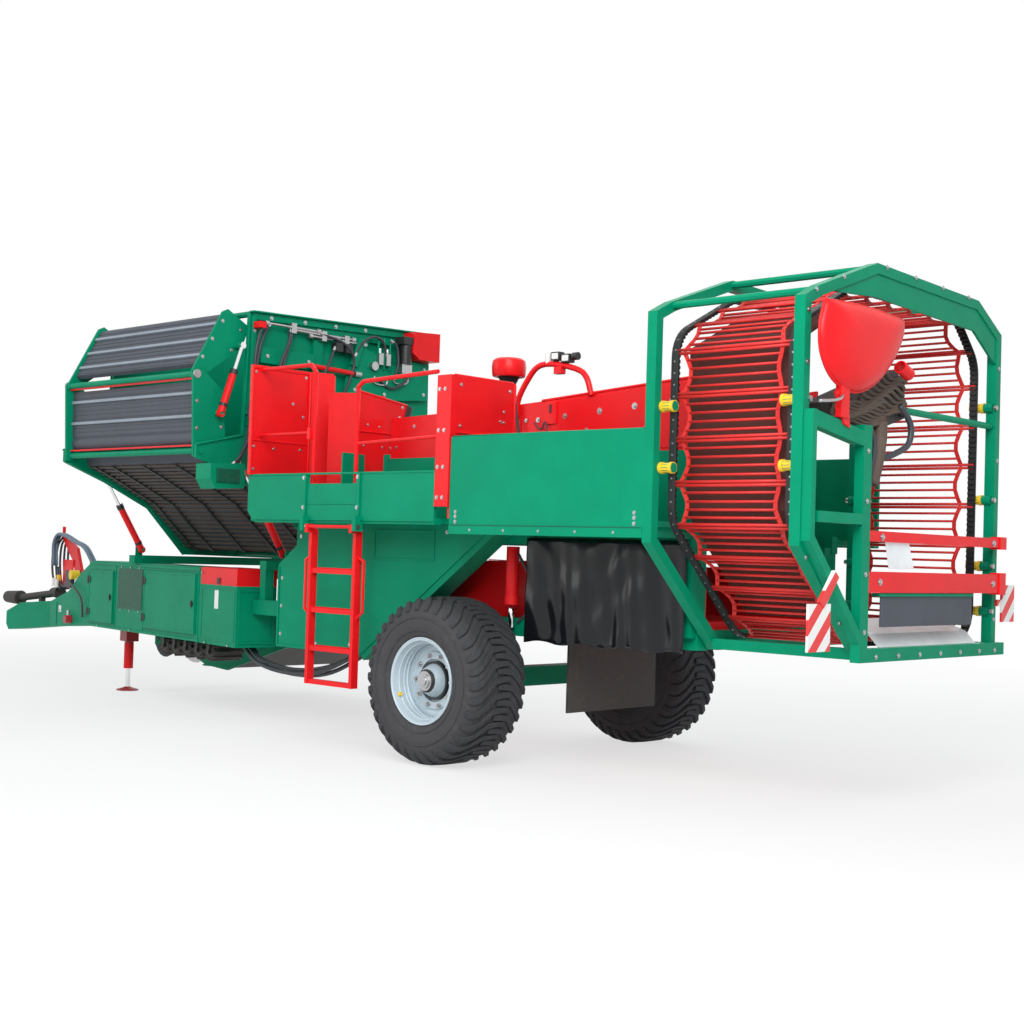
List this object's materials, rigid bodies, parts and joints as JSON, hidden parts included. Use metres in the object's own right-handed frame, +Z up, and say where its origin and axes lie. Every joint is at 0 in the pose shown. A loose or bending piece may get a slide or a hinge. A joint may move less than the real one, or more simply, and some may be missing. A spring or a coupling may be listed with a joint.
{
  "type": "trailed potato harvester",
  "caption": "Trailed potato harvester with digging unit, ring elevator, picking table and pickers' deck, side-unloading bunker, drawbar housing with cupboards, jack and folding ladder.",
  "frame": {"origin": "centre of the bounding box on the ground", "axes": "+X forward to the towing end, +Y the machine's left, +Z up"},
  "size_m": [12.9612, 3.32, 3.98],
  "materials": {
    "bare_steel": "brushed",
    "belt_rubber": "matt",
    "board_film": "reflective, striped",
    "chrome": "polished",
    "curtain_film": "glossy",
    "dark_flap": "matt",
    "green_paint": "gloss",
    "red_paint": "gloss",
    "rim_paint": "satin",
    "tyre_rubber": "matt",
    "web_steel": "satin",
    "white_sheet": "galvanised"
  },
  "bodies": {
    "chassis": {"axle_beam": "green_paint", "axle_flap": "dark_flap", "bunker_subframe": "green_paint", "chassis_frame": "green_paint", "chute_plate": "white_sheet", "crossbeam_lower": "red_paint", "crossbeam_upper": "red_paint", "curtain": "curtain_film", "deck": "green_paint", "drawbar_housing": "green_paint", "feed_channel": "red_paint", "front_shield": "red_paint", "handrail": "red_paint", "hose_bundle": "dark_flap", "hose_rack": "red_paint", "lower_side_panel": "green_paint", "motor_cover": "red_paint", "picking_belt": "belt_rubber", "rear_shield": "red_paint", "ring_frame_front": "green_paint", "ring_frame_rear": "green_paint", "ring_inner_frame": "green_paint", "ring_rubber_flap": "belt_rubber", "ring_web": "web_steel", "side_panel_left": "green_paint", "side_panel_right": "green_paint", "table_hood": "red_paint", "table_trough": "green_paint", "table_wall_left": "red_paint", "table_wall_right": "red_paint", "warning_board_left": "board_film", "warning_board_right": "board_film"},
    "wheel_left": {"tyre_left": "tyre_rubber", "rim_left": "rim_paint"},
    "wheel_right": {"tyre_right": "tyre_rubber", "rim_right": "rim_paint"},
    "drawbar_arm": {"drawbar": "green_paint", "driveline": "dark_flap"},
    "jack": {"jack_foot": "chrome"},
    "door_front": {"cupboard_door_front": "green_paint"},
    "door_rear": {"cupboard_door_rear": "green_paint"},
    "lid": {"tool_box_lid": "red_paint"},
    "digger": {"digger_frame": "green_paint"},
    "discs": {"cutting_discs": "bare_steel"},
    "ridge_rollers": {"ridge_rollers": "belt_rubber"},
    "bunker": {"bunker": "green_paint", "bunker_belt": "belt_rubber", "lamp_box": "green_paint", "drive_cover": "red_paint"},
    "lower_section": {"elevator_lower": "green_paint", "elevator_lower_belt": "belt_rubber"},
    "tip_section": {"elevator_tip": "green_paint", "elevator_tip_belt": "belt_rubber"},
    "ladder": {"ladder": "red_paint"},
    "lift_ram_front_barrel": {"lift_ram_front_barrel": "red_paint"},
    "lift_ram_front_rod": {"lift_ram_front_rod": "chrome"},
    "lift_ram_rear_barrel": {"lift_ram_rear_barrel": "red_paint"},
    "lift_ram_rear_rod": {"lift_ram_rear_rod": "chrome"},
    "tip_ram_barrel": {"tip_ram_barrel": "red_paint"},
    "tip_ram_rod": {"tip_ram_rod": "chrome"}
  },
  "joints": [
    {"name": "wheel_left_spin", "type": "hinge", "parent": "chassis", "child": "wheel_left", "pos_m": [-2.86, 1.27, 0.66295], "axis": [0, 1, 0], "continuous": true},
    {"name": "wheel_right_spin", "type": "hinge", "parent": "chassis", "child": "wheel_right", "pos_m": [-2.86, -1.27, 0.66295], "axis": [0, 1, 0], "continuous": true},
    {"name": "drawbar_steer", "type": "hinge", "parent": "chassis", "child": "drawbar_arm", "pos_m": [5.09122, -0.00015, 0.78], "axis": [0, 0, 1], "range_deg": [-25, 25]},
    {"name": "jack_slide", "type": "slide", "parent": "chassis", "child": "jack", "axis": [0, 0, 1], "range_m": [0, 0.2]},
    {"name": "door_front_swing", "type": "hinge", "parent": "chassis", "child": "door_front", "pos_m": [3.81021, 0.45739, 1.05], "axis": [0, 0, -1], "range_deg": [0, 110]},
    {"name": "door_rear_swing", "type": "hinge", "parent": "chassis", "child": "door_rear", "pos_m": [2.3023, 0.7165, 1.05], "axis": [0, 0, -1], "range_deg": [0, 110]},
    {"name": "lid_swing", "type": "hinge", "parent": "chassis", "child": "lid", "pos_m": [0.1374, 0.63596, 1.29], "axis": [0.9856, -0.1693, 0], "range_deg": [0, 80]},
    {"name": "digger_lift", "type": "hinge", "parent": "chassis", "child": "digger", "pos_m": [-0.41, -0.88, 1.12], "axis": [0, -1, 0], "range_deg": [-5, 3]},
    {"name": "discs_spin", "type": "hinge", "parent": "digger", "child": "discs", "pos_m": [2.59, -0.88, 0.66], "axis": [0, 1, 0], "continuous": true},
    {"name": "ridge_rollers_spin", "type": "hinge", "parent": "digger", "child": "ridge_rollers", "pos_m": [3.19, -0.88, 0.6], "axis": [0, 1, 0], "continuous": true},
    {"name": "bunker_lift", "type": "hinge", "parent": "chassis", "child": "bunker", "pos_m": [1.29, -1.24, 1.6], "axis": [1, 0, 0], "range_deg": [0, 12]},
    {"name": "elevator_fold", "type": "hinge", "parent": "bunker", "child": "lower_section", "pos_m": [1.29, 1.58, 2.54], "axis": [-1, 0, 0], "range_deg": [0, 80]},
    {"name": "tip_fold", "type": "hinge", "parent": "lower_section", "child": "tip_section", "pos_m": [1.29, 1.62, 3.25], "axis": [-1, 0, 0], "range_deg": [0, 33]},
    {"name": "ladder_fold", "type": "hinge", "parent": "chassis", "child": "ladder", "pos_m": [-1.8, 1.625, 1.86], "axis": [1, 0, 0], "range_deg": [0, 175]},
    {"name": "lift_ram_front_swing", "type": "hinge", "parent": "chassis", "child": "lift_ram_front_barrel", "pos_m": [2.505, 0.62, 1.6], "axis": [1, 0, 0], "range_deg": [0, 20.36]},
    {"name": "lift_ram_front_stroke", "type": "slide", "parent": "lift_ram_front_barrel", "child": "lift_ram_front_rod", "axis": [0, 0.534, 0.8455], "range_m": [0, 0.3645]},
    {"name": "lift_ram_rear_swing", "type": "hinge", "parent": "chassis", "child": "lift_ram_rear_barrel", "pos_m": [0.075, 0.62, 1.6], "axis": [1, 0, 0], "range_deg": [0, 20.36]},
    {"name": "lift_ram_rear_stroke", "type": "slide", "parent": "lift_ram_rear_barrel", "child": "lift_ram_rear_rod", "axis": [0, 0.534, 0.8455], "range_m": [0, 0.3645]},
    {"name": "tip_ram_swing", "type": "hinge", "parent": "lower_section", "child": "tip_ram_barrel", "pos_m": [0.09, 1.4, 2.9], "axis": [-1, 0, 0], "range_deg": [0, 20.27]},
    {"name": "tip_ram_stroke", "type": "slide", "parent": "tip_ram_barrel", "child": "tip_ram_rod", "axis": [0, -0.3162, 0.9487], "range_m": [0, 0.1582]}
  ],
  "couplings": [
    {"joint": "lift_ram_front_swing", "follows": "bunker_lift", "ratio": 1.6547},
    {"joint": "lift_ram_front_stroke", "follows": "bunker_lift", "m_per_rad": 1.7212},
    {"joint": "lift_ram_rear_swing", "follows": "bunker_lift", "ratio": 1.6547},
    {"joint": "lift_ram_rear_stroke", "follows": "bunker_lift", "m_per_rad": 1.7212},
    {"joint": "tip_ram_swing", "follows": "tip_fold", "ratio": 0.59914},
    {"joint": "tip_ram_stroke", "follows": "tip_fold", "m_per_rad": 0.26766}
  ]
}
